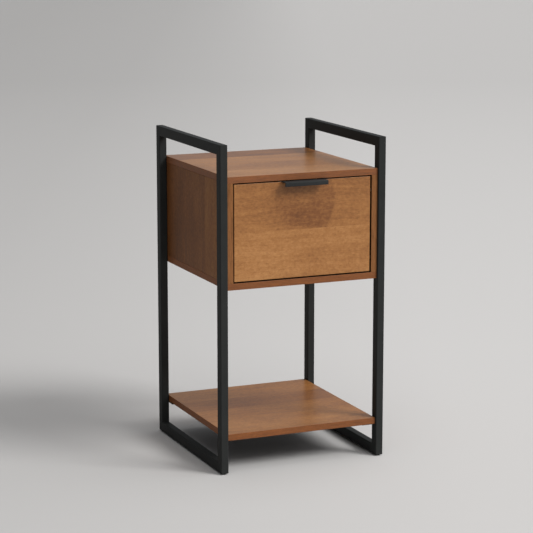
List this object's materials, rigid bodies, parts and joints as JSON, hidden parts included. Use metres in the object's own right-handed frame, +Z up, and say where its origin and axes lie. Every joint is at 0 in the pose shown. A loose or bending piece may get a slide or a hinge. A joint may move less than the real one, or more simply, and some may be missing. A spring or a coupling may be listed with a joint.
{
  "type": "side table with drawer",
  "caption": "Tall narrow side table: wooden cabinet with an inset drawer and a lower shelf, carried between black steel tube side frames.",
  "frame": {"origin": "on the floor, at the bottom centre of the bounding box, pull included", "axes": "+X to the right seen from the front, +Y to the back, +Z up; the drawer opens towards -Y"},
  "size_m": [0.406, 0.423, 0.75],
  "materials": {
    "black_powder_coat": "satin powder coat",
    "pull_black": "satin powder coat",
    "walnut_veneer": "satin lacquer",
    "birch_ply": "clear lacquer",
    "thin_board": "matte",
    "black_plastic": "matte",
    "beech": "raw",
    "zinc_alloy": "cast",
    "ball_steel": "polished",
    "zinc_steel": "zinc plated"
  },
  "bodies": {
    "table": {"back_panel": "thin_board", "bottom_board": "walnut_veneer", "cabinet_slide_screws": "zinc_steel", "cam_bolts": "zinc_steel", "cam_housings": "zinc_alloy", "carcass_dowels": "beech", "foot_glides": "black_plastic", "frame_bolts": "zinc_steel", "left_bottom_rail": "black_powder_coat", "left_cabinet_rail": "zinc_steel", "left_front_post": "black_powder_coat", "left_rear_post": "black_powder_coat", "left_side_panel": "walnut_veneer", "left_top_rail": "black_powder_coat", "right_bottom_rail": "black_powder_coat", "right_cabinet_rail": "zinc_steel", "right_front_post": "black_powder_coat", "right_rear_post": "black_powder_coat", "right_side_panel": "walnut_veneer", "right_top_rail": "black_powder_coat", "rivet_nuts": "zinc_steel", "shelf": "walnut_veneer", "shelf_brackets": "black_powder_coat", "shelf_screws": "zinc_steel", "top_board": "walnut_veneer"},
    "drawer": {"drawer_back": "birch_ply", "drawer_bottom": "thin_board", "drawer_box_screws": "zinc_steel", "drawer_front": "walnut_veneer", "drawer_front_screws": "zinc_steel", "drawer_inner_front": "birch_ply", "drawer_left_side": "birch_ply", "drawer_pull": "pull_black", "drawer_right_side": "birch_ply", "drawer_slide_screws": "zinc_steel", "left_drawer_rail": "zinc_steel", "pull_screws": "zinc_steel", "right_drawer_rail": "zinc_steel"},
    "left_middle_slide": {"left_middle_rail": "zinc_steel"},
    "left_outer_ball_cage": {"left_outer_cage": "zinc_steel", "left_outer_balls": "ball_steel"},
    "left_inner_ball_cage": {"left_inner_cage": "zinc_steel", "left_inner_balls": "ball_steel"},
    "right_middle_slide": {"right_middle_rail": "zinc_steel"},
    "right_outer_ball_cage": {"right_outer_cage": "zinc_steel", "right_outer_balls": "ball_steel"},
    "right_inner_ball_cage": {"right_inner_cage": "zinc_steel", "right_inner_balls": "ball_steel"}
  },
  "joints": [
    {"name": "drawer_slide", "type": "slide", "parent": "table", "child": "drawer", "axis": [0, -1, 0], "range_m": [0, 0.34]},
    {"name": "left_middle_slide_travel", "type": "slide", "parent": "table", "child": "left_middle_slide", "axis": [0, -1, 0], "range_m": [0, 0.17]},
    {"name": "left_outer_ball_cage_travel", "type": "slide", "parent": "table", "child": "left_outer_ball_cage", "axis": [0, -1, 0], "range_m": [0, 0.085]},
    {"name": "left_inner_ball_cage_travel", "type": "slide", "parent": "table", "child": "left_inner_ball_cage", "axis": [0, -1, 0], "range_m": [0, 0.255]},
    {"name": "right_middle_slide_travel", "type": "slide", "parent": "table", "child": "right_middle_slide", "axis": [0, -1, 0], "range_m": [0, 0.17]},
    {"name": "right_outer_ball_cage_travel", "type": "slide", "parent": "table", "child": "right_outer_ball_cage", "axis": [0, -1, 0], "range_m": [0, 0.085]},
    {"name": "right_inner_ball_cage_travel", "type": "slide", "parent": "table", "child": "right_inner_ball_cage", "axis": [0, -1, 0], "range_m": [0, 0.255]}
  ],
  "couplings": [
    {"joint": "left_middle_slide_travel", "follows": "drawer_slide", "ratio": 0.5},
    {"joint": "left_outer_ball_cage_travel", "follows": "drawer_slide", "ratio": 0.25},
    {"joint": "left_inner_ball_cage_travel", "follows": "drawer_slide", "ratio": 0.75},
    {"joint": "right_middle_slide_travel", "follows": "drawer_slide", "ratio": 0.5},
    {"joint": "right_outer_ball_cage_travel", "follows": "drawer_slide", "ratio": 0.25},
    {"joint": "right_inner_ball_cage_travel", "follows": "drawer_slide", "ratio": 0.75}
  ]
}
